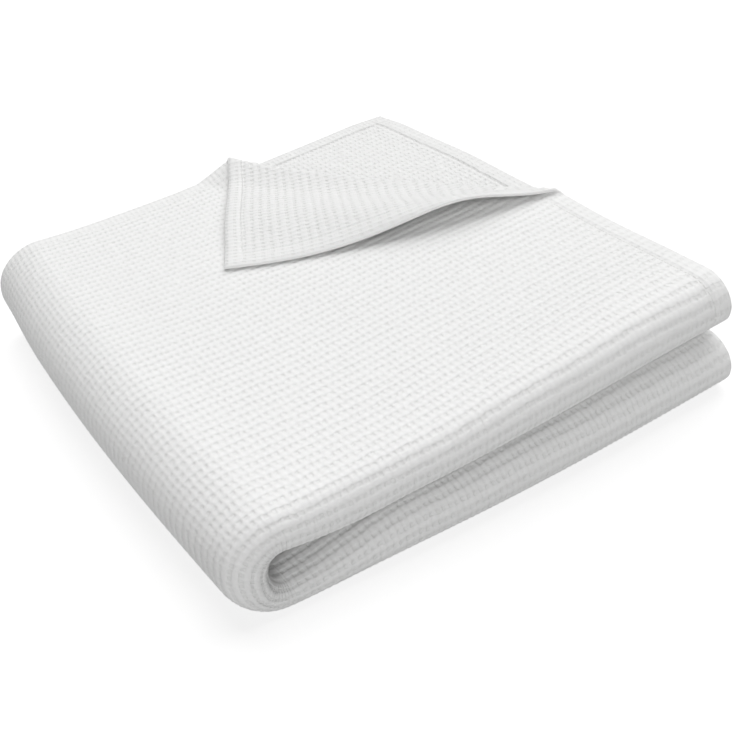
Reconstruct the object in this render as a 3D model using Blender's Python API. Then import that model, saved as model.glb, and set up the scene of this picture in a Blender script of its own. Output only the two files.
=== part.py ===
"""A waffle weave cotton blanket, folded to a flat stack of sixteen layers with one corner turned back.

The blanket is one cloth with hemmed edges. It is modelled as the maker's flat sheet and then folded as a
person folds it: in half along its length, in half across, in half across again, and last in half along the
spine. The corner of the top layer is turned back, and the stack is lofted to its real, uneven height.

Metres, +Z up. X runs from the spine to the open end, Y from the rolled edges to the back, and the origin is
on the floor under the middle of the stack.
"""
import math

import bmesh
import bpy
from mathutils import Vector

# Driving sizes of the folded blanket.
LENGTH = 0.4515         # spine to open end
WIDTH = 0.513           # rolled edges to back edge
THICK = 0.003           # cloth
SIDE_HEM = 0.020        # hem band along the ends of the layers at the open end
END_HEM = 0.017         # the narrower hem band along the ends at the back edge
HEM_STEP = 0.0004       # how much thicker the hem is, on its wrong side
PITCH = 0.0045          # from one layer to the next at the spine, where the stack is tightest
HALF_GAP = 0.022        # between the upper and the lower half at the spine, cloth to cloth
OPEN_GAP = 0.0075       # the same at the open end
SETBACK = 0.004         # how far the inner folds lie behind the outer edges

# Height of the stack over its four corners.
HEIGHTS = {
    ("spine", "rolls"): 0.0805,
    ("open", "rolls"): 0.1108,
    ("open", "back"): 0.1122,
    ("spine", "back"): 0.0884,
}
FRONT_BOW = 0.0095      # how far the rolled edges bulge out half way along
GAP_RUN = 0.120         # length from the spine over which the gap between the halves closes
TURN_GAP = 0.009        # how much wider the gap is inside the spine's inner turn
TURN_PRESS = 0.15       # share of the stack's cloth that lies there above the gap instead of below it
SPINE_BOW = 0.008       # how far the spine bulges out half way along
SPINE_TUCK = 0.003      # how far the spine's back end is drawn in
BACK_DIP = 0.016        # how far the back edge is drawn in half way along
OPEN_BULGE = 0.005      # how far the open end bulges out towards the back
CORNER_REACH = 0.050    # length of the edges that the round back corner of the open end takes up
CORNER_ROUND = 0.004    # how far that corner is drawn in, along each edge
OPEN_LEAN = 0.0144      # how much further the bottom of the open end reaches than its top, at the rolls
ROLL_REACH = 0.050      # width beside the rolled edges over which they swell with the loft

# Turned-back corner: the fold runs from the back edge to the open end.
FOLD_ON_BACK = 0.201    # from the corner to the fold, along the back edge
FOLD_ON_OPEN = 0.312    # from the corner to the fold, along the open end
FOLD_SAG = 0.017        # how far the fold curves away from the corner half way along
FLAP_REACH = 0.94       # share of the loose corner's length that it reaches past the curved fold
FLAP_CLEAR = 0.0012     # air between the corner and the top layer
FLAP_RISE_LENGTH = 0.030  # width before the fold over which the cloth rises to it
FLAP_RISE_BEND = 1.15   # 1 for a straight rise with a crease at its foot
FLAP_BACK = {"radius": 0.0030, "rise": 0.0100, "belly": 0.0, "drop": 0.162}
FLAP_OPEN = {"radius": 0.0028, "rise": 0.0010, "belly": 0.0220, "drop": 0.100}

# Number of mesh divisions, and the cuts beside the turned corner's fold: shares of the rise before it, and
# distances past its bend.
LENGTH_STEPS = 7
WIDTH_STEPS = 6
SPINE_STEPS = 10
ROLL_STEPS = 8
BACK_STEPS = 5
PAIR_STEPS = 4
FLAP_STEPS = 6
RISE_CUTS = (1.0, 0.66, 0.33)
CORNER_CUTS = (0.02, 0.04, 0.06)

TINY = 1e-6

CLOTH_COLOUR = (0.90, 0.90, 0.89, 1.0)
CLOTH_ROUGHNESS = 0.95

# Fold radii, each from the fold's axis to the middle of its outermost layer.
LAYERS_A_HALF = 8
PAIR_RADIUS = 0.5 * PITCH
BACK_RADIUS = 1.5 * PITCH
ROLL_RADIUS = 3.5 * PITCH
SPINE_RADIUS = (LAYERS_A_HALF - 1) * PITCH + 0.5 * (HALF_GAP + THICK)
SPINE_WALL = (LAYERS_A_HALF - 1) * PITCH + THICK

# Where each fold starts, and the size of the flat cloth that this asks for.
SPINE_START = LENGTH - SPINE_RADIUS - 0.5 * THICK
PAIR_START = 2 * SPINE_START + math.pi * SPINE_RADIUS - PAIR_RADIUS - SETBACK
ROLL_START = WIDTH - ROLL_RADIUS - 0.5 * THICK
BACK_START = 2 * ROLL_START + math.pi * ROLL_RADIUS - BACK_RADIUS - SETBACK
FLAT_LENGTH = 2 * PAIR_START + math.pi * PAIR_RADIUS
FLAT_WIDTH = 2 * BACK_START + math.pi * BACK_RADIUS
STACK_HEIGHT = 2 * SPINE_RADIUS + THICK
HALF_HEIGHT = 0.5 * (STACK_HEIGHT - HALF_GAP)

# The turned corner's fold on the flat cloth: its direction, and its normal towards the corner.
FOLD_LENGTH = math.hypot(FOLD_ON_BACK, FOLD_ON_OPEN)
FOLD_DIRECTION = Vector((-FOLD_ON_BACK, FOLD_ON_OPEN)) / FOLD_LENGTH
FOLD_NORMAL = Vector((-FOLD_DIRECTION.y, FOLD_DIRECTION.x))


def clear_scene():
    for item in list(bpy.data.objects):
        bpy.data.objects.remove(item, do_unlink=True)


def cloth_material():
    material = bpy.data.materials.new("white_cotton")
    material.use_nodes = True
    shader = material.node_tree.nodes["Principled BSDF"]
    shader.inputs["Base Color"].default_value = CLOTH_COLOUR
    shader.inputs["Roughness"].default_value = CLOTH_ROUGHNESS
    shader.inputs["Metallic"].default_value = 0.0
    return material


def smooth(value):
    value = min(max(value, 0.0), 1.0)
    return value * value * (3.0 - 2.0 * value)


def turn_under(along, height, start, radius):
    """Carry what lies past `start` half a turn round an axis `radius` below the outermost layer."""
    past = along - start
    if past <= 0.0:
        return along, height
    own_radius = height + radius
    arc = math.pi * radius
    if past < arc:
        angle = math.pi * past / arc
        return start + own_radius * math.sin(angle), own_radius * math.cos(angle) - radius
    return start - (past - arc), -own_radius - radius


def fold_sag(run):
    return FOLD_SAG * math.sin(math.pi * min(max(run / FOLD_LENGTH, 0.0), 1.0))


def past_fold(s, t):
    """How far a place on the flat cloth is past the curved fold, and how far it is along the fold."""
    offset = Vector((s - FOLD_ON_BACK, t))
    run = offset.dot(FOLD_DIRECTION)
    return offset.dot(FOLD_NORMAL) + fold_sag(run), run


def flap_size(name, run):
    """One of the turned corner's sizes, `run` metres along its fold."""
    share = run / FOLD_LENGTH
    return FLAP_BACK[name] * (1 - share) + FLAP_OPEN[name] * share


def on_top_layer(s, t):
    return s < SPINE_START and t < ROLL_START


def turn_corner_back(s, t, height):
    """Turn the top layer's corner up and over its fold, down to rest on the layer it came from."""
    past, run = past_fold(s, t)
    if past <= -FLAP_RISE_LENGTH or not on_top_layer(s, t):
        return s, t, height
    rise = flap_size("rise", run)
    if past <= 0.0:
        return s, t, height + rise * (1 + past / FLAP_RISE_LENGTH) ** FLAP_RISE_BEND
    radius = flap_size("radius", run)
    arc = math.pi * radius
    own_radius = radius - height
    if past < arc:
        angle = math.pi * past / arc
        out = own_radius * math.sin(angle)
        height = rise + radius - own_radius * math.cos(angle)
    else:
        out = -(past - arc) * FLAP_REACH
        drop = smooth(-out / flap_size("drop", run))
        belly = flap_size("belly", run) * math.sin(math.pi * drop)
        lift = 2 * radius * (1 - drop) + (THICK + FLAP_CLEAR) * drop + belly
        height = lift - height + rise * max(1 + out / FLAP_RISE_LENGTH, 0.0) ** FLAP_RISE_BEND
    place = Vector((FOLD_ON_BACK, 0.0)) + FOLD_DIRECTION * run + FOLD_NORMAL * (out - fold_sag(run))
    return place.x, place.y, height


def loft(x, y):
    """Height of the stack at a place on its plan."""
    across = smooth(x / LENGTH + 0.5)
    back = smooth(y / WIDTH + 0.5)
    rolls = HEIGHTS["spine", "rolls"] * (1 - across) + HEIGHTS["open", "rolls"] * across
    rear = HEIGHTS["spine", "back"] * (1 - across) + HEIGHTS["open", "back"] * across
    return rolls * (1 - back) + rear * back


def raise_to_loft(height, x, y):
    """Spread the even stack to its uneven height, with the gap between its halves closing to the open end."""
    from_spine = x + 0.5 * LENGTH
    closing = smooth(from_spine / GAP_RUN)
    inner_turn = smooth(from_spine / SPINE_WALL) * (1 - smooth((from_spine - SPINE_WALL) / GAP_RUN))
    gap = HALF_GAP * (1 - closing) + OPEN_GAP * closing + TURN_GAP * inner_turn
    cloth = loft(x, y) - gap
    lower = cloth * (0.5 - TURN_PRESS * inner_turn)
    upper = cloth - lower
    above_half = height - HALF_HEIGHT
    above_gap = above_half - HALF_GAP
    if above_half < 0.0:
        return height * lower / HALF_HEIGHT
    if above_gap < 0.0:
        return lower + above_half * gap / HALF_GAP
    return lower + gap + min(above_gap, HALF_HEIGHT) * upper / HALF_HEIGHT + max(above_gap - HALF_HEIGHT, 0.0)


def swell_rolls(x, y):
    """Deepen the rolled edges as much as the loft heightens them, so that they stay round."""
    inward = y + 0.5 * WIDTH
    swell = 0.5 * (loft(x, y) - OPEN_GAP) / HALF_HEIGHT - 1.0
    return y + inward * swell * math.exp(-((inward / ROLL_REACH) ** 2))


def shape_outline(x, y, z):
    """Let the edges of the stack run as unevenly as they lie."""
    across = smooth(x / LENGTH + 0.5)
    back = smooth(y / WIDTH + 0.5)
    half_way = math.cos(math.pi * x / LENGTH)
    bow = FRONT_BOW * half_way * (1 - back) + BACK_DIP * half_way * back
    tuck = SPINE_TUCK * (1 - across) * smooth(4 * y / WIDTH - 1)
    spine = SPINE_BOW * (1 - across) * math.cos(math.pi * y / WIDTH)
    bulge = OPEN_BULGE * across * math.sin(math.pi * back * back)
    lean = OPEN_LEAN * across * (1 - back) * (1 - z / STACK_HEIGHT)
    corner = smooth(1 + (x - 0.5 * LENGTH) / CORNER_REACH) * smooth(1 + (y - 0.5 * WIDTH) / CORNER_REACH)
    drawn_in = CORNER_ROUND * corner
    return x + tuck - spine + bulge + lean - drawn_in, y - bow - drawn_in


def fold_blanket(point):
    """Where a point of the flat cloth lies on the folded blanket; the flat cloth's corner is the origin."""
    s, t, height = turn_corner_back(*point)
    s, height = turn_under(s, height, PAIR_START, PAIR_RADIUS)
    t, height = turn_under(t, height, BACK_START, BACK_RADIUS)
    t, height = turn_under(t, height, ROLL_START, ROLL_RADIUS)
    s, height = turn_under(s, height, SPINE_START, SPINE_RADIUS)
    x = 0.5 * LENGTH - s
    y = 0.5 * WIDTH - t
    z = raise_to_loft(height + STACK_HEIGHT - 0.5 * THICK, x, y)
    x, y = shape_outline(x, swell_rolls(x, y), z)
    return Vector((x, y, z))


def stops(spans):
    """Cut places along the cloth: each span is its length and its number of divisions."""
    places = [0.0]
    for length, steps in spans:
        start = places[-1]
        places.extend(start + length * (step + 1) / steps for step in range(steps))
    return places


def length_stops():
    panel = [(SIDE_HEM, 1), (SPINE_START - SIDE_HEM, LENGTH_STEPS), (math.pi * SPINE_RADIUS, SPINE_STEPS)]
    panel.append((PAIR_START - SPINE_START - math.pi * SPINE_RADIUS, LENGTH_STEPS))
    return stops(panel + [(math.pi * PAIR_RADIUS, PAIR_STEPS)] + panel[::-1])


def width_stops():
    panel = [(END_HEM, 1), (ROLL_START - END_HEM, WIDTH_STEPS), (math.pi * ROLL_RADIUS, ROLL_STEPS)]
    panel.append((BACK_START - ROLL_START - math.pi * ROLL_RADIUS, WIDTH_STEPS))
    return stops(panel + [(math.pi * BACK_RADIUS, BACK_STEPS)] + panel[::-1])


def in_hem(s, t):
    in_side_hem = min(s, FLAT_LENGTH - s) < SIDE_HEM - TINY
    in_end_hem = min(t, FLAT_WIDTH - t) < END_HEM - TINY
    return in_side_hem or in_end_hem


def flat_cloth():
    """Flat sheet in one plane, cut where it will bend."""
    mesh = bmesh.new()
    columns = length_stops()
    rows = width_stops()
    grid = [[mesh.verts.new((s, t, 0.0)) for t in rows] for s in columns]
    for i in range(len(columns) - 1):
        for j in range(len(rows) - 1):
            mesh.faces.new((grid[i][j], grid[i + 1][j], grid[i + 1][j + 1], grid[i][j + 1]))
    cut_for_corner(mesh)
    bmesh.ops.triangulate(mesh, faces=mesh.faces[:])
    return mesh


def slide_by_sag(mesh, share):
    """Slide the flat sheet across the turned corner's fold: by 1 to make its curve straight, by -1 to undo it."""
    for vertex in mesh.verts:
        run = past_fold(vertex.co.x, vertex.co.y)[1]
        vertex.co += FOLD_NORMAL.to_3d() * fold_sag(run) * share


def cut_for_corner(mesh):
    """Cut the flat sheet across the turned corner, along its fold and the bends beside it."""
    back = math.pi * FLAP_BACK["radius"]
    open_end = math.pi * FLAP_OPEN["radius"]
    cuts = [(-FLAP_RISE_LENGTH * share, -FLAP_RISE_LENGTH * share) for share in RISE_CUTS]
    cuts += [(back * step / FLAP_STEPS, open_end * step / FLAP_STEPS) for step in range(FLAP_STEPS + 1)]
    cuts += [(back + past, open_end + past) for past in CORNER_CUTS]
    slide_by_sag(mesh, 1.0)
    for at_back, at_open in cuts:
        first = Vector((FOLD_ON_BACK, 0.0)) + FOLD_NORMAL * at_back
        last = Vector((0.0, FOLD_ON_OPEN)) + FOLD_NORMAL * at_open
        along = last - first
        across = Vector((-along.y, along.x, 0.0)).normalized()
        geometry = mesh.verts[:] + mesh.edges[:] + mesh.faces[:]
        bmesh.ops.bisect_plane(mesh, geom=geometry, dist=TINY, plane_co=first.to_3d(), plane_no=across)
    slide_by_sag(mesh, -1.0)


def give_thickness(mesh):
    """Close the flat sheet into a slab whose middle is at height 0, with the hem thicker on its wrong side."""
    bmesh.ops.solidify(mesh, geom=mesh.faces[:], thickness=THICK)
    bmesh.ops.recalc_face_normals(mesh, faces=mesh.faces[:])
    heights = [vertex.co.z for vertex in mesh.verts]
    middle = 0.5 * (min(heights) + max(heights))
    for vertex in mesh.verts:
        vertex.co.z -= middle
        if vertex.co.z < 0.0 and in_hem(vertex.co.x, vertex.co.y):
            vertex.co.z -= HEM_STEP


def centre_on_floor(mesh):
    """Put the origin under the middle of the plan."""
    for axis in (0, 1):
        places = [vertex.co[axis] for vertex in mesh.verts]
        middle = 0.5 * (min(places) + max(places))
        for vertex in mesh.verts:
            vertex.co[axis] -= middle


def build_blanket():
    cloth = flat_cloth()
    give_thickness(cloth)
    for vertex in cloth.verts:
        vertex.co = fold_blanket(vertex.co)
    centre_on_floor(cloth)
    mesh = bpy.data.meshes.new("blanket")
    cloth.to_mesh(mesh)
    cloth.free()
    mesh.materials.append(cloth_material())
    blanket = bpy.data.objects.new("blanket", mesh)
    bpy.context.scene.collection.objects.link(blanket)
    return blanket


def main():
    clear_scene()
    build_blanket()


main()
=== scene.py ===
"""Folded waffle weave cotton blanket: the cloth with its weave, its hems and their sewing, on a studio floor.

Metres, +Z up. X runs from the spine to the open end, Y from the rolled edges to the back, and the origin is
on the floor under the middle of the stack. The cloth is made flat, with its pits and hems, and then folded.
On the flat cloth, s is its length and t its width, both from the corner that is turned back.
"""

import bisect
import itertools
import math

import bmesh
import bpy
from bpy.props import FloatProperty, FloatVectorProperty, PointerProperty
from mathutils import Matrix, Vector


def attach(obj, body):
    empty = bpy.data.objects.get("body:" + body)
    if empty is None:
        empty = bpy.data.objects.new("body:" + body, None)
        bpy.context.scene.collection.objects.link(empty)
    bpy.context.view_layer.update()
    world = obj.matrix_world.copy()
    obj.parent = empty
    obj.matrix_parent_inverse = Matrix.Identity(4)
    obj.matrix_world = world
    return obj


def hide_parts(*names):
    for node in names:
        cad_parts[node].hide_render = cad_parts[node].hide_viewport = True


bl_info = {
    "name": "Folded Waffle Blanket",
    "version": (1, 0, 0),
    "blender": (4, 5, 0),
    "location": "View3D > Sidebar > Blanket",
    "description": "Folds a waffle weave cotton blanket and turns its corner back",
    "category": "Add Mesh",
}

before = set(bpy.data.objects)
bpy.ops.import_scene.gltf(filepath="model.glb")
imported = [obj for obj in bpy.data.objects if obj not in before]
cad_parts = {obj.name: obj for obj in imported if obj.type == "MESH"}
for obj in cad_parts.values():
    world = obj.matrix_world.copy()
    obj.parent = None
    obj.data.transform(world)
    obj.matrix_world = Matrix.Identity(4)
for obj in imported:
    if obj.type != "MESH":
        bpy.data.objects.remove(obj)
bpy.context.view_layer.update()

# Sizes of the folded stack.
LENGTH = 0.4515         # spine to open end
WIDTH = 0.513           # rolled edges to back edge
THICK = 0.003           # cloth
SIDE_HEM = 0.020        # hem band along the ends of the layers at the open end
END_HEM = 0.017         # the narrower hem band along the ends at the back edge
HEM_STEP = 0.0004       # how much thicker the hem is, on its wrong side
PITCH = 0.0045          # from one layer to the next at the spine, where the stack is tightest
HALF_GAP = 0.022        # between the upper and the lower half at the spine, cloth to cloth
OPEN_GAP = 0.0075       # the same at the open end
SETBACK = 0.004         # how far the inner folds lie behind the outer edges
PLAN_SHIFT = (-0.0015, 0.0047)  # from the middle of the folds to the middle of the plan

# Height of the stack over its four corners.
HEIGHTS = {
    ("spine", "rolls"): 0.0805,
    ("open", "rolls"): 0.1108,
    ("open", "back"): 0.1122,
    ("spine", "back"): 0.0884,
}
FRONT_BOW = 0.0095      # how far the rolled edges bulge out half way along
GAP_RUN = 0.120         # length from the spine over which the gap between the halves closes
TURN_GAP = 0.009        # how much wider the gap is inside the spine's inner turn
TURN_PRESS = 0.15       # share of the stack's cloth that lies there above the gap instead of below it
SPINE_BOW = 0.008       # how far the spine bulges out half way along
SPINE_TUCK = 0.003      # how far the spine's back end is drawn in, over the last quarter of the width
BACK_DIP = 0.016        # how far the back edge is drawn in half way along
OPEN_BULGE = 0.005      # how far the open end bulges out towards the back
CORNER_REACH = 0.050    # length of the edges that the round back corner of the open end takes up
CORNER_ROUND = 0.004    # how far that corner is drawn in, along each edge
OPEN_LEAN = 0.0144      # how much further the bottom of the open end reaches than its top, at the rolls
ROLL_REACH = 0.050      # width beside the rolled edges over which they swell with the loft

# Turned-back corner. Its fold runs from the back edge to the open end. The last two lines give its sizes at
# those two ends: the radius of its turn, how far the cloth rises to it, how far the loose corner bellies up,
# and the length over which it comes down on the top layer.
FOLD_ON_BACK = 0.201    # from the corner to the fold, along the back edge
FOLD_ON_OPEN = 0.312    # from the corner to the fold, along the open end
FOLD_SAG = 0.017        # how far the fold curves away from the corner half way along
FLAP_REACH = 0.94       # share of the loose corner's length that it reaches past the curved fold
FLAP_CLEAR = 0.0012     # air between the corner and the top layer
FLAP_RISE_RUN = 0.030   # width before the fold over which the cloth rises to it
FLAP_RISE_BEND = 1.15   # 1 for a straight rise with a crease at its foot
FLAP_BACK = {"radius": 0.0030, "rise": 0.0100, "belly": 0.0, "drop": 0.162}
FLAP_OPEN = {"radius": 0.0028, "rise": 0.0010, "belly": 0.0220, "drop": 0.100}

# The straight line that the corner's fold is curved from.
FOLD_LENGTH = math.hypot(FOLD_ON_BACK, FOLD_ON_OPEN)
FOLD_DIRECTION = Vector((-FOLD_ON_BACK, FOLD_ON_OPEN)) / FOLD_LENGTH
FOLD_NORMAL = Vector((-FOLD_DIRECTION.y, FOLD_DIRECTION.x))

# Fold radii, each from the fold's axis to the middle of its outermost layer.
LAYERS_A_HALF = 8
PAIR_RADIUS = 0.5 * PITCH
BACK_RADIUS = 1.5 * PITCH
ROLL_RADIUS = 3.5 * PITCH
SPINE_RADIUS = (LAYERS_A_HALF - 1) * PITCH + 0.5 * (HALF_GAP + THICK)
SPINE_WALL = (LAYERS_A_HALF - 1) * PITCH + THICK

# Where each fold starts, and the size of the flat cloth that this asks for.
SPINE_START = LENGTH - SPINE_RADIUS - 0.5 * THICK
SPINE_END = SPINE_START + math.pi * SPINE_RADIUS
PAIR_START = SPINE_START + SPINE_END - PAIR_RADIUS - SETBACK
PAIR_END = PAIR_START + math.pi * PAIR_RADIUS
ROLL_START = WIDTH - ROLL_RADIUS - 0.5 * THICK
ROLL_END = ROLL_START + math.pi * ROLL_RADIUS
BACK_START = ROLL_START + ROLL_END - BACK_RADIUS - SETBACK
BACK_END = BACK_START + math.pi * BACK_RADIUS
FLAT_LENGTH = PAIR_START + PAIR_END
FLAT_WIDTH = BACK_START + BACK_END
STACK_HEIGHT = 2 * SPINE_RADIUS + THICK
HALF_HEIGHT = 0.5 * (STACK_HEIGHT - HALF_GAP)

# The weave. Lengths "in cells" count its cells, along or across the cloth.
CELL_LENGTH = 0.0055    # along the cloth
CELL_WIDTH = 0.0089     # across it
PIT_HALF = 0.25         # half the width of a row of pits, in cells
WRONG_SHIFT = (0.5, PIT_HALF)  # how far the wrong side's pits lie from the right side's, in cells
PIT_LEAST = 0.7         # share of its full depth that the shallowest pit has
PIT_SPREAD = 0.4        # how much more of it the deepest has
CUTS_LONG = 2           # cuts of the mesh a cell, along the cloth
CUTS_WIDE = (0.5 - PIT_HALF, 0.5, 0.5 + PIT_HALF)  # where it is cut across the cloth, in cells
TINY = 1e-6             # lengths closer than this are the same

# Where the weave shows, and the cloth is cut finely for it.
TOP_BAND_WIDTH = 0.455  # width of the top layer's band, up to the rolls
PAST_ROLLS = 0.030      # width past the rolls
BEFORE_BACK = 0.010     # width before the fold at the back
PAST_BACK = 0.006       # width past that fold
WRONG_BANDS = ((0.10, 0.245), (0.20, 0.190), (0.30, 0.130), (0.40, 0.080))  # to what width, over what length
NOT_WOVEN = (0.0, 0.0)  # no length of a band that lies inside the stack

# Hems and their sewing, measured from a hem's inner edge.
EDGE_CUTS = (0.0, 0.0005, 0.0015)  # cuts round the cloth's own edge, from there
BAND_CUTS = (0.4, 0.7)  # cuts over the hem's band, in shares of its width
GROOVE_WIDTH = 0.0007   # width over which the sewing pulls the cloth in
EDGE_LEFT = 0.2         # share of the cloth's thickness at its very edge
SEWING_INSET = 0.0008   # how far the sewing lies inside that edge
SIDE_GROOVE = 0.0004    # how deep the sewing pulls the cloth in, in the side hems
END_GROOVE = 0.0002     # the same in the end hems
END_HEM_EASE = 0.3      # share of the end hem's width over which its doubled cloth thickens
UNDER_FOLD = 0.03       # how far the sewing of the layer under the turned corner goes on past the fold
THREAD_PROUD = 0.35     # how far a stitch stands out of its groove, in thicknesses of the thread
THREAD_SEGMENTS = 6     # faces round a stitch, and along it
FIXED_ORDER = Vector((1.0, 7.3, 41.9))  # direction in which a stitch's parts are put in order

# Divisions of the layers that lie inside the stack.
PANEL_STEPS = 7
SPINE_STEPS = 12
ROLL_STEPS = 10
BACK_STEPS = 8
PAIR_STEPS = 6

# How the cloth is measured: in this many steps, along it at one place of its width, and across it at one
# place of its length.
TAPE_STEPS = 1000
TAPE_AT_WIDTH = 0.45
TAPE_AT_LENGTH = 0.30

# Waves in which the cloth has slid out of line, each as its share, its radians a metre of the cloth's length
# and of its width, and its phase.
SLID_ALONG = ((0.6, 0.0, 15.3, 0.6), (0.3, 9.0, 48.0, 2.1))
SLID_ACROSS = ((0.6, 17.0, 0.0, 1.9), (0.3, 53.0, 11.0, 0.4))
SCATTER = (12.9898, 78.233, 43758.5453)  # large odd numbers that scatter the cells' unevenness

# The cotton's finish, and the shade painted into it. A noise has its features a metre, and where it moves or
# shades something, by how much.
CELL_NOISE_ALONG = (110.0, 0.5)   # how uneven the cells are along the cloth, in cells
CELL_NOISE_ACROSS = (150.0, 0.3)  # and across it
FUZZ_NOISE = (1100.0, 0.45)       # the cotton's fuzz, in its height
CLOUD_NOISE = (22.0, 0.08)        # slow changes of its tone
PIT_NOISE = (260.0, 1.0)          # how unevenly deep the pits look
PIT_FLARE = 0.9         # steepness of a pit's sides next to the mesh's
PIT_ACROSS = (0.10, 0.60)  # where the pit begins and is full across its row, from the rib to the middle
PIT_ALONG = (0.25, 0.75)   # and along it
VALLEY_FULL = 0.7       # where a row's valley is full
VALLEY_SHARE = 0.3      # share of the hollow that is the row's valley; its pits have the rest
HEM_RELIEF = 0.9        # how much of the weave's depth is left in the doubled hem
YARNS_WIDE = 8          # yarns over a cell, the way that its floats lie side by side
YARNS_LONG = 5          # and the other way
BINDER_HEIGHT = 0.5     # height of the finer yarns next to the floats
YARN_HEIGHT = 0.08      # height of the yarns next to the hollows' depth
KNUCKLE_HEIGHT = 0.20   # and of the ribs' knuckles between two pits
COTTON_RELIEF = (0.0007, 0.9)  # depth and strength of all of it
COTTON_ROUGHNESS = (0.82, 0.15)  # least roughness, and how much the fuzz adds
COTTON_SPECULAR = 0.2
COTTON_SHEEN = 0.15
COTTON_SHEEN_ROUGHNESS = 0.5
SEWN_HALF_WIDTH = 0.0008  # half the width of the line of painted shade along the sewing's groove
SEWN_SHADE = 0.5        # how dark that painted shade line is, next to a pit's painted shade
SEWN_END_SHARE = 0.4    # share of it that shows in the end hems

# The sewing thread's finish, and the shade painted into its twist.
TWIST_SCALE = 500.0
TWIST_DISTORTION = 1.0
TWIST_SHADE = 0.15
TWIST_RELIEF = (0.0002, 0.5)
THREAD_ROUGHNESS = (0.6, 0.2)  # least roughness, and how much the noise adds
THREAD_NOISE = 400.0

# Studio. What shines is seen by the camera as bright as the first of a pair, and casts light like the second.
FLOOR_HALF = 6.0
FLOOR_CUTS = 8
FLOOR_GLOW = (2.0, 0.60)
FLOOR_ROUGHNESS = (0.8, 0.1)
FLOOR_NOISE = 3.0
SKY_GLOW = (1.0, 0.15)
OVERHEAD_LIGHT = ((0.47, 0.43, 1.0), 70.0, 2.75)  # direction that it comes from, spread in degrees, strength
FILL_LIGHT = ((-0.45, -0.78, 0.50), 40.0, 1.18)
CAMERA_TARGET = Vector((-0.0005, -0.0569, 0.0225))
CAMERA_AZIMUTH = math.radians(-28.67)
CAMERA_ELEVATION = math.radians(32.66)
CAMERA_ROLL = math.radians(-6.17)
CAMERA_DISTANCE = 0.9846
CAMERA_LENS = 55.79
CAMERA_SENSOR = 36.0
CAMERA_NEAR = 0.01


class BlanketSizes(bpy.types.PropertyGroup):
    """Sizes of the weave and the sewing."""
    pit_depth: FloatProperty(name="Pit Depth", description="Depth of the weave's pits",
                             default=0.0012, min=0.0, max=0.0022, subtype="DISTANCE")
    bridge_depth: FloatProperty(name="Bridge Depth", description="Depth of the threads between two pits",
                                default=0.0006, min=0.0, max=0.0014, subtype="DISTANCE")
    rib_dip: FloatProperty(name="Rib Dip", description="How far a rib dips beside a pit",
                           default=0.0004, min=0.0, max=0.0014, subtype="DISTANCE")
    wander: FloatProperty(name="Wander", description="How far single yarns lie out of line",
                          default=0.0004, min=0.0, max=0.001, subtype="DISTANCE")
    drift: FloatProperty(name="Drift", description="How far the rows of the weave run out of line",
                         default=0.0014, min=0.0, max=0.004, subtype="DISTANCE")
    stitch_length: FloatProperty(name="Stitch Length", description="Length of one stitch in the hem",
                                 default=0.0030, min=0.001, max=0.01, subtype="DISTANCE")
    stitch_spacing: FloatProperty(name="Stitch Spacing", description="From one stitch to the next",
                                  default=0.0036, min=0.001, max=0.02, subtype="DISTANCE")
    thread_thickness: FloatProperty(name="Thread Thickness", description="Thickness of the sewing thread",
                                    default=0.0007, min=0.0002, max=0.002, subtype="DISTANCE")


class BlanketColours(bpy.types.PropertyGroup):
    """Colours of the cloth, the shade painted into it, its thread and the studio floor."""
    cotton: FloatVectorProperty(name="Cotton", description="Colour of the cotton's raised ribs",
                                default=(0.89, 0.89, 0.885), min=0.0, max=1.0, subtype="COLOR")
    # Painted shade: the cotton is no darker in its pits. This colour paints the shade that falls in them,
    # along the sewing's groove and in the thread's twist. The cloth's slow random changes of tone also lean
    # towards it.
    pits: FloatVectorProperty(name="Pits", description="Colour of the cotton down in the weave's pits",
                              default=(0.85, 0.85, 0.842), min=0.0, max=1.0, subtype="COLOR")
    thread: FloatVectorProperty(name="Thread", description="Colour of the sewing thread",
                                default=(0.88, 0.88, 0.87), min=0.0, max=1.0, subtype="COLOR")
    floor: FloatVectorProperty(name="Floor", description="Colour of the studio floor",
                               default=(0.36, 0.36, 0.36), min=0.0, max=1.0, subtype="COLOR")


def smooth(value):
    value = min(max(value, 0.0), 1.0)
    return value * value * (3.0 - 2.0 * value)


# Folding.

def turn_under(along, height, start, radius):
    """Carry what lies past `start` half a turn round an axis `radius` below the outermost layer."""
    past = along - start
    if past <= 0.0:
        return along, height
    own_radius = height + radius
    arc = math.pi * radius
    if past < arc:
        angle = math.pi * past / arc
        return start + own_radius * math.sin(angle), own_radius * math.cos(angle) - radius
    return start - (past - arc), -own_radius - radius


def fold_sag(run):
    return FOLD_SAG * math.sin(math.pi * min(max(run / FOLD_LENGTH, 0.0), 1.0))


def past_fold(s, t):
    """How far a place on the flat cloth is past the curved fold, and how far it is along the fold."""
    offset = Vector((s - FOLD_ON_BACK, t))
    run = offset.dot(FOLD_DIRECTION)
    return offset.dot(FOLD_NORMAL) + fold_sag(run), run


def flap_size(name, run):
    """One of the turned corner's sizes, `run` metres along its fold."""
    share = run / FOLD_LENGTH
    return FLAP_BACK[name] * (1 - share) + FLAP_OPEN[name] * share


def on_top_layer(s, t):
    return s < SPINE_START and t < ROLL_START


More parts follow.
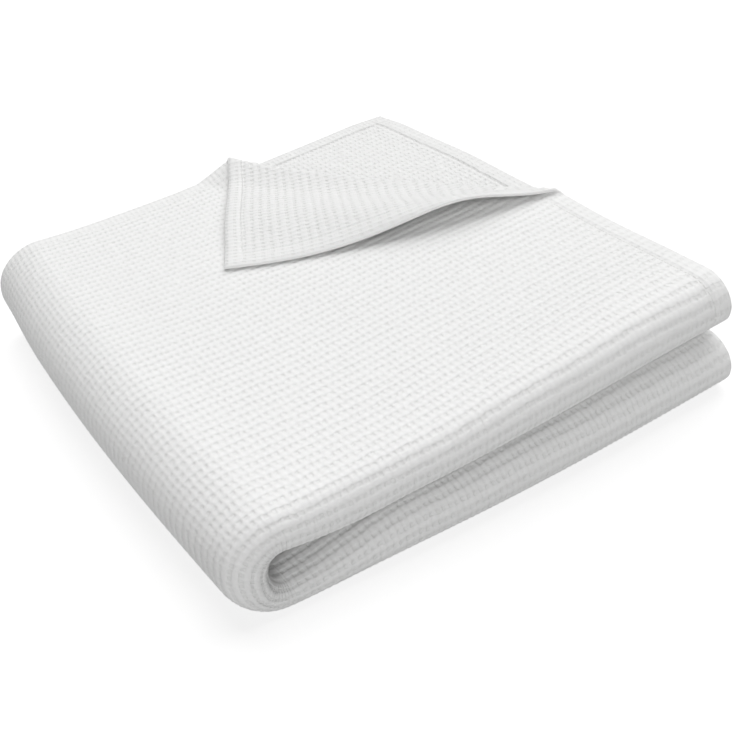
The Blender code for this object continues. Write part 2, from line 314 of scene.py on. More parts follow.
def turn_corner_back(s, t, height):
    """Turn the top layer's corner up and over its fold, down to rest on the layer it came from."""
    past, run = past_fold(s, t)
    if past <= -FLAP_RISE_RUN or not on_top_layer(s, t):
        return s, t, height
    rise = flap_size("rise", run)
    if past <= 0.0:
        return s, t, height + rise * (1 + past / FLAP_RISE_RUN) ** FLAP_RISE_BEND
    radius = flap_size("radius", run)
    arc = math.pi * radius
    own_radius = radius - height
    if past < arc:
        angle = math.pi * past / arc
        out = own_radius * math.sin(angle)
        height = rise + radius - own_radius * math.cos(angle)
    else:
        out = -(past - arc) * FLAP_REACH
        drop = smooth(-out / flap_size("drop", run))
        belly = flap_size("belly", run) * math.sin(math.pi * drop)
        lift = 2 * radius * (1 - drop) + (THICK + FLAP_CLEAR) * drop + belly
        height = lift - height + rise * max(1 + out / FLAP_RISE_RUN, 0.0) ** FLAP_RISE_BEND
    place = Vector((FOLD_ON_BACK, 0.0)) + FOLD_DIRECTION * run + FOLD_NORMAL * (out - fold_sag(run))
    return place.x, place.y, height


def loft(x, y):
    """Height of the stack at a place on its plan."""
    across = smooth(x / LENGTH + 0.5)
    back = smooth(y / WIDTH + 0.5)
    rolls = HEIGHTS["spine", "rolls"] * (1 - across) + HEIGHTS["open", "rolls"] * across
    rear = HEIGHTS["spine", "back"] * (1 - across) + HEIGHTS["open", "back"] * across
    return rolls * (1 - back) + rear * back


def raise_to_loft(height, x, y):
    """Spread the even stack to its uneven height, with the gap between its halves closing to the open end."""
    from_spine = x + 0.5 * LENGTH
    closing = smooth(from_spine / GAP_RUN)
    inner_turn = smooth(from_spine / SPINE_WALL) * (1 - smooth((from_spine - SPINE_WALL) / GAP_RUN))
    gap = HALF_GAP * (1 - closing) + OPEN_GAP * closing + TURN_GAP * inner_turn
    cloth = loft(x, y) - gap
    lower = cloth * (0.5 - TURN_PRESS * inner_turn)
    upper = cloth - lower
    above_half = height - HALF_HEIGHT
    above_gap = above_half - HALF_GAP
    if above_half < 0.0:
        return height * lower / HALF_HEIGHT
    if above_gap < 0.0:
        return lower + above_half * gap / HALF_GAP
    return lower + gap + min(above_gap, HALF_HEIGHT) * upper / HALF_HEIGHT + max(above_gap - HALF_HEIGHT, 0.0)


def swell_rolls(x, y):
    """Deepen the rolled edges as much as the loft heightens them, so that they stay round."""
    inward = y + 0.5 * WIDTH
    swell = 0.5 * (loft(x, y) - OPEN_GAP) / HALF_HEIGHT - 1.0
    return y + inward * swell * math.exp(-((inward / ROLL_REACH) ** 2))


def shape_outline(x, y, z):
    """Let the edges of the stack run as unevenly as they lie."""
    across = smooth(x / LENGTH + 0.5)
    back = smooth(y / WIDTH + 0.5)
    half_way = math.cos(math.pi * x / LENGTH)
    bow = FRONT_BOW * half_way * (1 - back) + BACK_DIP * half_way * back
    tuck = SPINE_TUCK * (1 - across) * smooth(4 * y / WIDTH - 1)
    spine = SPINE_BOW * (1 - across) * math.cos(math.pi * y / WIDTH)
    bulge = OPEN_BULGE * across * math.sin(math.pi * back * back)
    lean = OPEN_LEAN * across * (1 - back) * (1 - z / STACK_HEIGHT)
    corner = smooth(1 + (x - 0.5 * LENGTH) / CORNER_REACH) * smooth(1 + (y - 0.5 * WIDTH) / CORNER_REACH)
    drawn_in = CORNER_ROUND * corner
    return x + tuck - spine + bulge + lean - drawn_in, y - bow - drawn_in


def waves_at(waves, s, t):
    return sum(share * math.sin(s * by_length + t * by_width + phase)
               for share, by_length, by_width, phase in waves)


def drift(s, t, amount):
    """Where the cloth has slid a little out of line, in its own plane."""
    return s + amount * waves_at(SLID_ALONG, s, t), t + amount * waves_at(SLID_ACROSS, s, t)


def fold_blanket(point, slide):
    """Where a point of the flat cloth lies on the folded blanket; the flat cloth's corner is the origin."""
    s, t = drift(point.x, point.y, slide)
    s, t, height = turn_corner_back(s, t, point.z)
    s, height = turn_under(s, height, PAIR_START, PAIR_RADIUS)
    t, height = turn_under(t, height, BACK_START, BACK_RADIUS)
    t, height = turn_under(t, height, ROLL_START, ROLL_RADIUS)
    s, height = turn_under(s, height, SPINE_START, SPINE_RADIUS)
    x = 0.5 * LENGTH - s
    y = 0.5 * WIDTH - t
    z = raise_to_loft(height + STACK_HEIGHT - 0.5 * THICK, x, y)
    x, y = shape_outline(x, swell_rolls(x, y), z)
    return Vector((x + PLAN_SHIFT[0], y + PLAN_SHIFT[1], max(z, 0.0)))


# Flat cloth.

class TapeMeasure:
    """Lengths along the outside of the folded stack, where the cloth is eased over its bends."""

    def __init__(self, point_at, size):
        self.places = [size * step / TAPE_STEPS for step in range(TAPE_STEPS + 1)]
        points = [fold_blanket(Vector(point_at(place)), 0.0) for place in self.places]
        steps = [(second - first).length for first, second in zip(points, points[1:])]
        self.lengths = [0.0, *itertools.accumulate(steps)]

    @staticmethod
    def read(value, known, wanted):
        index = min(max(bisect.bisect_right(known, value) - 1, 0), len(known) - 2)
        share = (value - known[index]) / (known[index + 1] - known[index])
        return wanted[index] * (1 - share) + wanted[index + 1] * share

    def length(self, place):
        return self.read(place, self.places, self.lengths)

    def place(self, length):
        return self.read(length, self.lengths, self.places)


ALONG = TapeMeasure(lambda s: (s, TAPE_AT_WIDTH, 0.5 * THICK), 0.5 * FLAT_LENGTH)
ACROSS = TapeMeasure(lambda t: (TAPE_AT_LENGTH, t, 0.5 * THICK), FLAT_WIDTH)


def cell_along(s):
    """Place on the weave, in cells from the hem at the nearer end of the cloth."""
    return (ALONG.length(min(s, FLAT_LENGTH - s)) - SIDE_HEM) / CELL_LENGTH


def cell_across(t):
    return (ACROSS.length(t) - END_HEM) / CELL_WIDTH


def column_of_cell(cell):
    return ALONG.place(SIDE_HEM + cell * CELL_LENGTH)


def row_of_cell(cell):
    return ACROSS.place(END_HEM + cell * CELL_WIDTH)


def steps_between(start, end, count):
    return [start + (end - start) * step / count for step in range(count)]


def hem_stops(width):
    """Places across a hem: its round edge, its band, and the groove that its sewing pulls in."""
    groove = width - SEWING_INSET
    return [*EDGE_CUTS, *(share * width for share in BAND_CUTS), groove - GROOVE_WIDTH, groove]


def plain_columns():
    """Cuts along the cloth for layers that lie inside the stack."""
    half = steps_between(SIDE_HEM, SPINE_START, PANEL_STEPS)
    half += steps_between(SPINE_START, SPINE_END, SPINE_STEPS)
    half += steps_between(SPINE_END, PAIR_START, PANEL_STEPS)
    turn = steps_between(PAIR_START, PAIR_END, PAIR_STEPS)
    return half + turn + [PAIR_END] + [FLAT_LENGTH - place for place in reversed(half)]


def plain_rows():
    """Cuts across the cloth for layers that lie inside the stack."""
    half = steps_between(END_HEM, ROLL_START, PANEL_STEPS)
    half += steps_between(ROLL_START, ROLL_END, ROLL_STEPS)
    half += steps_between(ROLL_END, BACK_START, PANEL_STEPS)
    turn = steps_between(BACK_START, BACK_END, BACK_STEPS)
    return half + turn + [BACK_END] + [FLAT_WIDTH - place for place in reversed(half)]


def weave_columns(cells, far_cells=0):
    """The plain cuts, with those of the weave over some cells from each end of the cloth."""
    margin = 0.5 * CELL_LENGTH
    near = [column_of_cell(cut / CUTS_LONG) for cut in range(cells * CUTS_LONG + 1)]
    far = [FLAT_LENGTH - column_of_cell(cut / CUTS_LONG)
           for cut in range(far_cells * CUTS_LONG, -1, -1)]
    if not far_cells:
        far = [place for place in plain_columns() if place > FLAT_LENGTH - SPINE_START]
    plain = [place for place in plain_columns() if near[-1] + margin < place < far[0] - margin]
    stops = hem_stops(SIDE_HEM)
    return stops + near + plain + far + [FLAT_LENGTH - stop for stop in reversed(stops)]


def weave_rows(first, last, shift=0.0):
    """Rows of the weave from one cell to another; they lie either side of each row of pits and in it."""
    rows = [row_of_cell(cell + place - shift) for cell in range(first, last) for place in CUTS_WIDE]
    return rows if first else hem_stops(END_HEM) + [END_HEM] + rows


def plain_rows_between(first, last):
    """The plain cuts across the cloth from one cell to another, or to the hem at its end."""
    start = row_of_cell(first)
    end = row_of_cell(last) if last else FLAT_WIDTH
    rows = [place for place in plain_rows() if start < place < end]
    return rows if last else rows + [FLAT_WIDTH - stop for stop in reversed(hem_stops(END_HEM))]


def ends_near(s, t):
    """Distances to the nearer side hem's edge and to the nearer end hem's edge."""
    return min(s, FLAT_LENGTH - s), min(t, FLAT_WIDTH - t)


def thickness_at(s, t, side):
    """Half the cloth's thickness: round at its edge, a little more in the hem and less where it is sewn."""
    half = 0.5 * THICK
    from_side, from_end = ends_near(s, t)
    edge = min(from_side, from_end)
    if edge < half:
        return half * math.sqrt(max(1.0 - (1.0 - edge / half) ** 2, EDGE_LEFT ** 2))
    past_side = from_side - SIDE_HEM + SEWING_INSET
    past_end = from_end - END_HEM + SEWING_INSET
    if abs(past_side) < TINY and past_end > -TINY:
        return half - SIDE_GROOVE
    if abs(past_end) < TINY and past_side > -TINY:
        return half - END_GROOVE
    if side > 0 or min(past_side, past_end) >= 0.0:
        return half
    doubled = 1.0 if past_side < 0.0 else smooth(-past_end / (END_HEM_EASE * END_HEM))
    return half + HEM_STEP * doubled


def scatter(column, row):
    """A fixed number from 0 to 1 for each cell, so that no two cells are quite alike."""
    value = math.sin(column * SCATTER[0] + row * SCATTER[1]) * SCATTER[2]
    return value - math.floor(value)


def weave_depth(s, t, side, sizes):
    """How deep the weave lies below its ribs.

    The right side has rows of pits along the cloth, with a bridge of threads between two pits of a row. The
    wrong side has the same across the cloth.
    """
    along, across = cell_along(s), cell_across(t)
    if side < 0:
        along, across = along + WRONG_SHIFT[0], across + WRONG_SHIFT[1]
    hollow_along = 0.5 - 0.5 * math.cos(2 * math.pi * along)
    hollow_across = max(0.0, 1 - abs(across % 1.0 - 0.5) / PIT_HALF)
    row, pit = (hollow_across, hollow_along) if side > 0 else (hollow_along, hollow_across)
    uneven = PIT_LEAST + PIT_SPREAD * scatter(round(along * CUTS_LONG), round(across / PIT_HALF))
    in_row = sizes["bridge"] + (sizes["pit"] - sizes["bridge"]) * pit * uneven
    return row * in_row + (1 - row) * sizes["dip"] * pit * uneven


def lay_band(mesh, columns, rows, side, woven, sizes):
    """Lay one band of the flat cloth's face, cut at the given columns and rows.

    `woven` holds the lengths from each end of the cloth over which the weave is in the mesh.
    """
    grid = bmesh.ops.create_grid(mesh, x_segments=len(columns) - 1, y_segments=len(rows) - 1, size=0.5)
    for vertex in grid["verts"]:
        s = columns[round((vertex.co.x + 0.5) * (len(columns) - 1))]
        t = rows[round((vertex.co.y + 0.5) * (len(rows) - 1))]
        from_side, from_end = ends_near(s, t)
        inside = from_side > SIDE_HEM - TINY and from_end > END_HEM + TINY
        depth = 0.0
        if inside and (s < woven[0] + TINY or s > FLAT_LENGTH - woven[1] - TINY):
            depth = weave_depth(s, t, side, sizes)
        vertex.co = (s, t, side * (thickness_at(s, t, side) - depth))
    return grid["verts"]


def in_order(vertices, axis, place):
    """Those of the vertices that lie at one place across the axis, in order along it."""
    line = [vertex for vertex in vertices if abs(vertex.co[1 - axis] - place) < 10 * TINY]
    return sorted(line, key=lambda vertex: vertex.co[axis])


def close_between(mesh, first, second):
    """Close the strip between two lines of vertices that are cut in different places."""
    here, there = 0, 0
    while here + 1 < len(first) or there + 1 < len(second):
        step_here = step_there = math.inf
        if here + 1 < len(first):
            step_here = (first[here + 1].co - second[there].co).length
        if there + 1 < len(second):
            step_there = (first[here].co - second[there + 1].co).length
        if step_here <= step_there:
            mesh.faces.new((first[here], first[here + 1], second[there]))
            here += 1
        else:
            mesh.faces.new((first[here], second[there + 1], second[there]))
            there += 1


def lay_face(mesh, bands, side, sizes):
    """Lay one face of the flat cloth, band by band, and join each band to the next."""
    face = []
    last_row = None
    for columns, rows, woven in bands:
        made = lay_band(mesh, columns, rows, side, woven, sizes)
        if last_row:
            close_between(mesh, last_row, in_order(made, 0, rows[0]))
        last_row = in_order(made, 0, rows[-1])
        face.extend(made)
    return face


def right_side_bands():
    """Bands of the cloth's right side, which shows on the top, the rolls, the spine and the back fold."""
    top_end = round(cell_across(TOP_BAND_WIDTH))
    rolls_end = round(cell_across(ROLL_END + PAST_ROLLS))
    back_start = round(cell_across(BACK_START - BEFORE_BACK))
    back_end = round(cell_across(BACK_END + PAST_BACK))
    over_spine = round(cell_along(SPINE_END))
    to_open_end = round(cell_along(PAIR_START)) - 1
    woven_over_spine = (column_of_cell(over_spine), 0.0)
    woven_to_open_end = (column_of_cell(to_open_end), 0.0)
    return [
        (weave_columns(over_spine), weave_rows(0, top_end), woven_over_spine),
        (weave_columns(to_open_end), weave_rows(top_end, rolls_end), woven_to_open_end),
        (weave_columns(0), plain_rows_between(rolls_end, back_start), NOT_WOVEN),
        (weave_columns(to_open_end), weave_rows(back_start, back_end), woven_to_open_end),
        (weave_columns(0), plain_rows_between(back_end, 0), NOT_WOVEN),
    ]


def wrong_side_bands():
    """Bands of the cloth's wrong side, which shows on the turned corner and on the layer under it."""
    bands = []
    first_row = 0
    for width, length in WRONG_BANDS:
        cells = round(cell_along(length))
        last_row = round(cell_across(width))
        rows = weave_rows(first_row, last_row, WRONG_SHIFT[1])
        woven = (column_of_cell(cells), column_of_cell(cells))
        bands.append((weave_columns(cells, cells), rows, woven))
        first_row = last_row
    bands.append((weave_columns(0), plain_rows_between(first_row, 0), NOT_WOVEN))
    return bands


def wandered(place, amount):
    """A place on the flat cloth, moved a little out of line; the cloth's edges stay straight."""
    s, t, height = place
    from_side, from_end = ends_near(s, t)
    if min(from_side - SIDE_HEM, from_end - END_HEM) < 0.0:
        return place
    millimetres = round(s * 1000), round(t * 1000)
    along = scatter(*millimetres) - 0.5
    across = scatter(*reversed(millimetres)) - 0.5
    return Vector((s + 2 * amount * along, t + 2 * amount * across, height))


def flat_cloth(sizes):
    """Closed flat cloth with the weave in its faces and round edges; the wrong side has its own material."""
    mesh = bmesh.new()
    right = lay_face(mesh, right_side_bands(), 1, sizes)
    right_faces = len(mesh.faces)
    wrong = lay_face(mesh, wrong_side_bands(), -1, sizes)
    for axis, place in ((0, 0.0), (0, FLAT_WIDTH), (1, 0.0), (1, FLAT_LENGTH)):
        close_between(mesh, in_order(right, axis, place), in_order(wrong, axis, place))
    flat = mesh.loops.layers.uv.new("flat")
    for number, face in enumerate(mesh.faces):
        face.smooth = True
        face.material_index = int(number >= right_faces)
        for loop in face.loops:
            s, t = loop.vert.co.xy
            loop[flat].uv = (ALONG.length(min(s, FLAT_LENGTH - s)), ACROSS.length(t))
    bmesh.ops.recalc_face_normals(mesh, faces=mesh.faces[:])
    return mesh


def finish_piece(mesh, name, *materials):
    """Make an object of a mesh, and put it on the frame."""
    data = bpy.data.meshes.new(name)
    mesh.to_mesh(data)
    mesh.free()
    for material in materials:
        data.materials.append(material)
    piece = bpy.data.objects.new(name, data)
    bpy.context.scene.collection.objects.link(piece)
    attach(piece, "root")
    return piece


# Sewing.

def sewing_lines():
    """Lines of sewing that show, each as its ends on the flat cloth and the side that it is seen from."""
    side = SIDE_HEM - SEWING_INSET
    end = END_HEM - SEWING_INSET
    far_side = FLAT_LENGTH - side
    return [
        ((FOLD_ON_BACK, end), (SPINE_END, end), 1),
        ((side, FOLD_ON_OPEN), (side, ROLL_END), 1),
        ((side, end), (FOLD_ON_BACK, end), -1),
        ((side, end), (side, FOLD_ON_OPEN), -1),
        ((far_side, end), (FLAT_LENGTH - FOLD_ON_BACK - UNDER_FOLD, end), -1),
        ((far_side, end), (far_side, FOLD_ON_OPEN + UNDER_FOLD), -1),
    ]


def sew(mesh, start, end, side, sizes):
    """Lay stitches in the groove of a hem, end to end."""
    start, end = Vector(start), Vector(end)
    count = round((end - start).length / sizes["spacing"])
    along = (end - start).normalized()
    turn = Matrix.Rotation(math.atan2(along.y, along.x), 4, "Z")
    height = side * (0.5 * THICK - SIDE_GROOVE + THREAD_PROUD * sizes["thread"])
    size = Matrix.Diagonal((0.5 * sizes["stitch"], 0.5 * sizes["thread"], 0.5 * sizes["thread"], 1.0))
    for stitch in range(count):
        middle = start + along * (stitch + 0.5) * sizes["spacing"]
        place = Matrix.Translation((middle.x, middle.y, height)) @ turn @ size
        bmesh.ops.create_uvsphere(mesh, u_segments=THREAD_SEGMENTS, v_segments=THREAD_SEGMENTS,
                                  radius=1.0, matrix=place)


# Materials.

class Wiring:
    """Short ways to add and link the nodes of one material, or of the sky."""

    def __init__(self, owner, shader="Principled BSDF"):
        owner.use_nodes = True
        self.owner = owner
        self.tree = owner.node_tree
        self.shader = self.tree.nodes[shader]

    def node(self, kind, **settings):
        made = self.tree.nodes.new(kind)
        for key, value in settings.items():
            setattr(made, key, value)
        return made

    def put(self, socket, value):
        if isinstance(value, bpy.types.NodeSocket):
            self.tree.links.new(value, socket)
        else:
            socket.default_value = value

    def set(self, **settings):
        """Give the shader's own sockets a value or a link; an underscore stands for a space."""
        for name, value in settings.items():
            self.put(self.shader.inputs[name.replace("_", " ")], value)

    def math(self, operation, first, second=0.0, third=0.0):
        made = self.node("ShaderNodeMath", operation=operation)
        for socket, value in zip(made.inputs, (first, second, third)):
            self.put(socket, value)
        return made.outputs[0]

    def mix(self, share, first, second):
        made = self.node("ShaderNodeMix", data_type="RGBA")
        for name, value in (("Factor", share), ("A", first), ("B", second)):
            socket = [item for item in made.inputs if item.name == name and item.enabled][0]
            self.put(socket, value)
        return [item for item in made.outputs if item.enabled][0]

    def scaled(self, value, scale, base=0.0):
        """`base`, and `scale` times the value."""
        return self.math("MULTIPLY_ADD", value, scale, base)

    def ramp(self, value, low, high):
        """0 below `low`, 1 above `high`, and a smooth rise between them."""
        made = self.node("ShaderNodeMapRange", interpolation_type="SMOOTHSTEP")
        for name, setting in (("Value", value), ("From Min", low), ("From Max", high)):
            self.put(made.inputs[name], setting)
        return made.outputs["Result"]

    def noise(self, vector, scale, detail=2.0):
        made = self.node("ShaderNodeTexNoise")
        self.put(made.inputs["Vector"], vector)
        made.inputs["Scale"].default_value = scale
        made.inputs["Detail"].default_value = detail
        return made.outputs["Fac"]

    def bump(self, height, distance, strength):
        made = self.node("ShaderNodeBump")
        self.put(made.inputs["Height"], height)
        made.inputs["Distance"].default_value = distance
        made.inputs["Strength"].default_value = strength
        return made.outputs["Normal"]

    def glow(self, seen, cast):
        """A strength that the camera sees as the first, and that casts light as the second."""
        camera_ray = self.node("ShaderNodeLightPath").outputs["Is Camera Ray"]
        return self.scaled(camera_ray, seen - cast, cast)


def rgba(colour):
    return (*colour, 1.0)


def band_and_shade_line(wiring, distance, hem):
    """Two shares: 1 in the band of a hem, and 1 in the line of painted shade along its sewing's groove. They
    are 0 elsewhere.
    """
    off = wiring.math("ABSOLUTE", wiring.math("SUBTRACT", distance, hem - SEWING_INSET))
    line = wiring.math("MAXIMUM", wiring.scaled(off, -1 / SEWN_HALF_WIDTH, 1.0), 0.0)
    return wiring.math("LESS_THAN", distance, hem - SEWING_INSET), line


def cotton_material(name, colours, side):
    """White cotton with the weave's rows of pits and the yarns between them, as on the mesh of that side,
    with shade painted darker into the pits and along the sewing's groove.
    """
    wiring = Wiring(bpy.data.materials.new(name))
    flat = wiring.node("ShaderNodeUVMap", uv_map="flat").outputs["UV"]
    parts = wiring.node("ShaderNodeSeparateXYZ")
    wiring.put(parts.inputs[0], flat)
    length, width = parts.outputs["X"], parts.outputs["Y"]
    place = wiring.node("ShaderNodeTexCoord").outputs["Object"]
    shift_along, shift_across = (0.0, 0.0) if side > 0 else WRONG_SHIFT
    along = wiring.scaled(length, 1 / CELL_LENGTH, shift_along - SIDE_HEM / CELL_LENGTH)
    across = wiring.scaled(width, 1 / CELL_WIDTH, shift_across - END_HEM / CELL_WIDTH)

    # No two cells are quite alike.
    scale, amount = CELL_NOISE_ALONG
    along = wiring.math("ADD", along, wiring.scaled(wiring.noise(place, scale, 1.0), amount, -0.5 * amount))
    scale, amount = CELL_NOISE_ACROSS
    across = wiring.math("ADD", across, wiring.scaled(wiring.noise(place, scale, 1.0), amount, -0.5 * amount))

    # The rows of pits.
    wave = wiring.math("COSINE", wiring.math("MULTIPLY", along, 2 * math.pi))
    hollow_along = wiring.scaled(wave, -0.5, 0.5)
    middle = wiring.math("ABSOLUTE", wiring.math("SUBTRACT", wiring.math("FRACT", across), 0.5))
    hollow_across = wiring.math("MAXIMUM", wiring.scaled(middle, -PIT_FLARE / PIT_HALF, 1.0), 0.0)
    pit_across = wiring.ramp(hollow_across, *PIT_ACROSS)
    pit = wiring.math("MULTIPLY", pit_across, wiring.ramp(hollow_along, *PIT_ALONG))
    valley = wiring.ramp(hollow_across if side > 0 else hollow_along, 0.0, VALLEY_FULL)
    hollow = wiring.scaled(valley, VALLEY_SHARE, wiring.math("MULTIPLY", pit, 1.0 - VALLEY_SHARE))

    # The hem is doubled cloth, where the pits are pressed flatter and a line of painted shade follows the
    # sewing's groove.
    in_side_hem, side_shade_line = band_and_shade_line(wiring, length, SIDE_HEM)
    in_end_hem, end_shade_line = band_and_shade_line(wiring, width, END_HEM)
    in_hem = wiring.math("MAXIMUM", in_side_hem, in_end_hem)
    hollow = wiring.math("MULTIPLY", hollow, wiring.scaled(in_hem, HEM_RELIEF - 1.0, 1.0))
    # Painted shade along the sewing's groove: full in the side hems, fainter in the end hems.
    sewn_side = wiring.math("MULTIPLY", side_shade_line, wiring.math("SUBTRACT", 1.0, in_end_hem))
    sewn_end = wiring.math("MULTIPLY", end_shade_line, wiring.math("SUBTRACT", 1.0, in_side_hem))
    sewn = wiring.math("MAXIMUM", sewn_side, wiring.math("MULTIPLY", sewn_end, SEWN_END_SHARE))

    # Yarns: floats over the ribs, one way on each side of the cloth, bound by the finer ones across them.
    by_floats, by_binders = (across, along) if side > 0 else (along, across)
    floats = wiring.math("SINE", wiring.math("MULTIPLY", by_floats, 2 * math.pi * YARNS_WIDE))
    binders = wiring.math("SINE", wiring.math("MULTIPLY", by_binders, 2 * math.pi * YARNS_LONG))
    yarn = wiring.scaled(binders, BINDER_HEIGHT, floats)
    knuckle = wiring.math("MULTIPLY", wave, wiring.math("SUBTRACT", 1.0, valley))

    # The height of the cloth's face, and its colour, with shade painted a little darker where it is deep and
    # along the sewing's groove.
    fuzz = wiring.noise(place, FUZZ_NOISE[0], 3.0)
    cloud = wiring.noise(place, CLOUD_NOISE[0], 2.0)
    scale, amount = PIT_NOISE
    uneven = wiring.scaled(wiring.noise(place, scale, 1.0), amount, 1.0 - 0.5 * amount)
    deep = wiring.math("MULTIPLY", hollow, uneven)
    height = wiring.scaled(deep, -1.0, wiring.math("MULTIPLY", yarn, YARN_HEIGHT))
    height = wiring.scaled(knuckle, KNUCKLE_HEIGHT, height)
    height = wiring.scaled(fuzz, FUZZ_NOISE[1], height)
    # Painted shade: the colour darkens towards the pits colour in the pits and along the sewing's groove,
    # where shade falls. The cloud's random changes of tone go on top.
    shade = wiring.math("MAXIMUM", deep, wiring.math("MULTIPLY", sewn, SEWN_SHADE))
    tone = wiring.mix(shade, rgba(colours.cotton), rgba(colours.pits))
    painted_shade_and_cloud = wiring.mix(wiring.math("MULTIPLY", cloud, CLOUD_NOISE[1]), tone, rgba(colours.pits))
    least, added = COTTON_ROUGHNESS
    wiring.set(Base_Color=painted_shade_and_cloud, Roughness=wiring.scaled(fuzz, added, least),
               Normal=wiring.bump(height, *COTTON_RELIEF), Specular_IOR_Level=COTTON_SPECULAR,
               Sheen_Weight=COTTON_SHEEN, Sheen_Roughness=COTTON_SHEEN_ROUGHNESS)
    return wiring.owner


def thread_material(colours):
    """Twisted cotton thread."""
    wiring = Wiring(bpy.data.materials.new("white_cotton_thread"))
    place = wiring.node("ShaderNodeTexCoord").outputs["Object"]
    wave = wiring.node("ShaderNodeTexWave", bands_direction="DIAGONAL")
    wiring.put(wave.inputs["Vector"], place)
    wave.inputs["Scale"].default_value = TWIST_SCALE
    wave.inputs["Distortion"].default_value = TWIST_DISTORTION
    twist = wave.outputs["Fac"]
    # Painted shade in the grooves of the twist, in the pits colour.
    shade = wiring.math("MULTIPLY", twist, TWIST_SHADE)
    least, added = THREAD_ROUGHNESS
    wiring.set(Base_Color=wiring.mix(shade, rgba(colours.thread), rgba(colours.pits)),
               Roughness=wiring.scaled(wiring.noise(place, THREAD_NOISE), added, least),
               Normal=wiring.bump(twist, *TWIST_RELIEF))
    return wiring.owner


def floor_material(colours):
    """Pale matt floor that is lit evenly, like a sheet over a light table."""
    wiring = Wiring(bpy.data.materials.new("pale_studio_floor"))
    place = wiring.node("ShaderNodeTexCoord").outputs["Object"]
    least, added = FLOOR_ROUGHNESS
    wiring.set(Base_Color=rgba(colours.floor), Emission_Color=rgba(colours.floor),
               Roughness=wiring.scaled(wiring.noise(place, FLOOR_NOISE), added, least),
               Specular_IOR_Level=0.0, Emission_Strength=wiring.glow(*FLOOR_GLOW))
    return wiring.owner


# Stage.

def place_camera():
    """Stand the camera in front of the rolled edges, a little towards the spine, and tilt it slightly."""
    ahead, aside = math.cos(CAMERA_AZIMUTH), math.sin(CAMERA_AZIMUTH)
    level = math.cos(CAMERA_ELEVATION)
    back = Vector((aside * level, -ahead * level, math.sin(CAMERA_ELEVATION)))
    right = Vector((ahead, aside, 0.0))
    up = back.cross(right)
    rolled_right = math.cos(CAMERA_ROLL) * right + math.sin(CAMERA_ROLL) * up
    rolled_up = math.cos(CAMERA_ROLL) * up - math.sin(CAMERA_ROLL) * right
    lens = bpy.data.cameras.new("camera")
    lens.sensor_width = CAMERA_SENSOR
    lens.lens = CAMERA_LENS
    lens.clip_start = CAMERA_NEAR
    camera = bpy.data.objects.new("camera", lens)
    turn = Matrix((rolled_right, rolled_up, back)).transposed().to_4x4()
    camera.matrix_world = Matrix.Translation(CAMERA_TARGET + CAMERA_DISTANCE * back) @ turn
    bpy.context.scene.collection.objects.link(camera)
    bpy.context.scene.camera = camera


def add_soft_light(name, direction, spread, strength):
    """A soft light from one direction, spread like a large diffuser's."""
    light = bpy.data.lights.new(name, "SUN")
    light.angle = math.radians(spread)
    light.energy = strength
    holder = bpy.data.objects.new(name, light)
    holder.matrix_world = Vector(direction).to_track_quat("Z", "Y").to_matrix().to_4x4()
    bpy.context.scene.collection.objects.link(holder)


# Operators.

class BLANKET_OT_fold_cloth(bpy.types.Operator):
    """Fold the waffle weave cloth into its stack and turn its top corner back"""
    bl_idname = "blanket.fold_cloth"
    bl_label = "Fold Cloth"

    def execute(self, context):
        values = context.scene.blanket_sizes
        colours = context.scene.blanket_colours
        sizes = {"pit": values.pit_depth, "bridge": values.bridge_depth, "dip": values.rib_dip}
        cloth = flat_cloth(sizes)
        for vertex in cloth.verts:
            vertex.co = fold_blanket(wandered(vertex.co, values.wander), values.drift)
        right = cotton_material("white_cotton_right_side", colours, 1)
        wrong = cotton_material("white_cotton_wrong_side", colours, -1)
        piece = finish_piece(cloth, "folded_cloth", right, wrong)
        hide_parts("blanket")
        return {"FINISHED"}


class BLANKET_OT_sew_hems(bpy.types.Operator):
    """Sew the hems that show, stitch by stitch"""
    bl_idname = "blanket.sew_hems"
    bl_label = "Sew Hems"

    def execute(self, context):
        values = context.scene.blanket_sizes
        sizes = {"stitch": values.stitch_length, "spacing": values.stitch_spacing,
                 "thread": values.thread_thickness}
        thread = bmesh.new()
        for start, end, side in sewing_lines():
            sew(thread, start, end, side, sizes)
        # A sphere's parts come in another order each time.
        thread.verts.sort(key=lambda vertex: vertex.co.dot(FIXED_ORDER))
        thread.faces.sort(key=lambda face: face.calc_center_median().dot(FIXED_ORDER))
        for vertex in thread.verts:
            vertex.co = fold_blanket(vertex.co, values.drift)
        for face in thread.faces:
            face.smooth = True
        sewing = finish_piece(thread, "hem_sewing", thread_material(context.scene.blanket_colours))
        return {"FINISHED"}


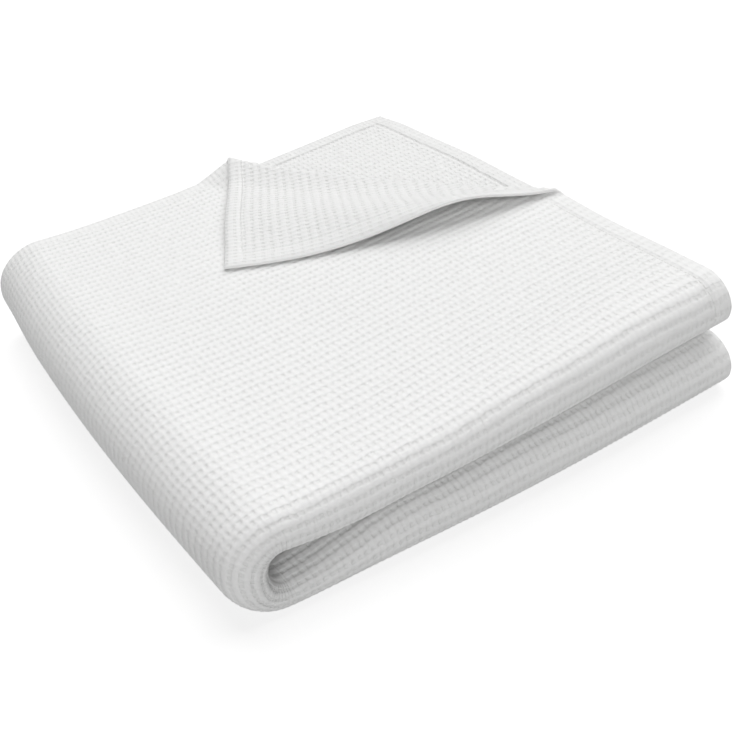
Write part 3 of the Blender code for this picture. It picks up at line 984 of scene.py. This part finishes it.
class BLANKET_OT_set_stage(bpy.types.Operator):
    """Lay the studio floor, light it softly and stand the camera"""
    bl_idname = "blanket.set_stage"
    bl_label = "Set Stage"

    def execute(self, context):
        mesh = bmesh.new()
        bmesh.ops.create_grid(mesh, x_segments=FLOOR_CUTS, y_segments=FLOOR_CUTS, size=FLOOR_HALF)
        data = bpy.data.meshes.new("studio_floor")
        mesh.to_mesh(data)
        mesh.free()
        data.materials.append(floor_material(context.scene.blanket_colours))
        floor = bpy.data.objects.new("studio_floor", data)
        context.scene.collection.objects.link(floor)
        add_soft_light("overhead_light", *OVERHEAD_LIGHT)
        add_soft_light("fill_light", *FILL_LIGHT)
        sky = Wiring(bpy.data.worlds.new("studio"), "Background")
        sky.set(Color=(1.0, 1.0, 1.0, 1.0), Strength=sky.glow(*SKY_GLOW))
        context.scene.world = sky.owner
        context.scene.view_settings.view_transform = "Standard"
        place_camera()
        return {"FINISHED"}


class BLANKET_PT_panel(bpy.types.Panel):
    """Folds, sews and stages the blanket"""
    bl_idname = "BLANKET_PT_panel"
    bl_label = "Folded Blanket"
    bl_space_type = "VIEW_3D"
    bl_region_type = "UI"
    bl_category = "Blanket"

    def draw(self, context):
        for group in (context.scene.blanket_sizes, context.scene.blanket_colours):
            box = self.layout.box()
            for name in group.__annotations__:
                box.prop(group, name)
        for operator in OPERATORS:
            self.layout.operator(operator.bl_idname)


OPERATORS = (BLANKET_OT_fold_cloth, BLANKET_OT_sew_hems, BLANKET_OT_set_stage)
CLASSES = (BlanketSizes, BlanketColours, *OPERATORS, BLANKET_PT_panel)


def register():
    for item in CLASSES:
        bpy.utils.register_class(item)
    bpy.types.Scene.blanket_sizes = PointerProperty(type=BlanketSizes)
    bpy.types.Scene.blanket_colours = PointerProperty(type=BlanketColours)


def unregister():
    del bpy.types.Scene.blanket_colours
    del bpy.types.Scene.blanket_sizes
    for item in reversed(CLASSES):
        bpy.utils.unregister_class(item)


def main():
    register()
    bpy.ops.blanket.fold_cloth()
    bpy.ops.blanket.sew_hems()
    bpy.ops.blanket.set_stage()


if __name__ == "__main__":
    main()
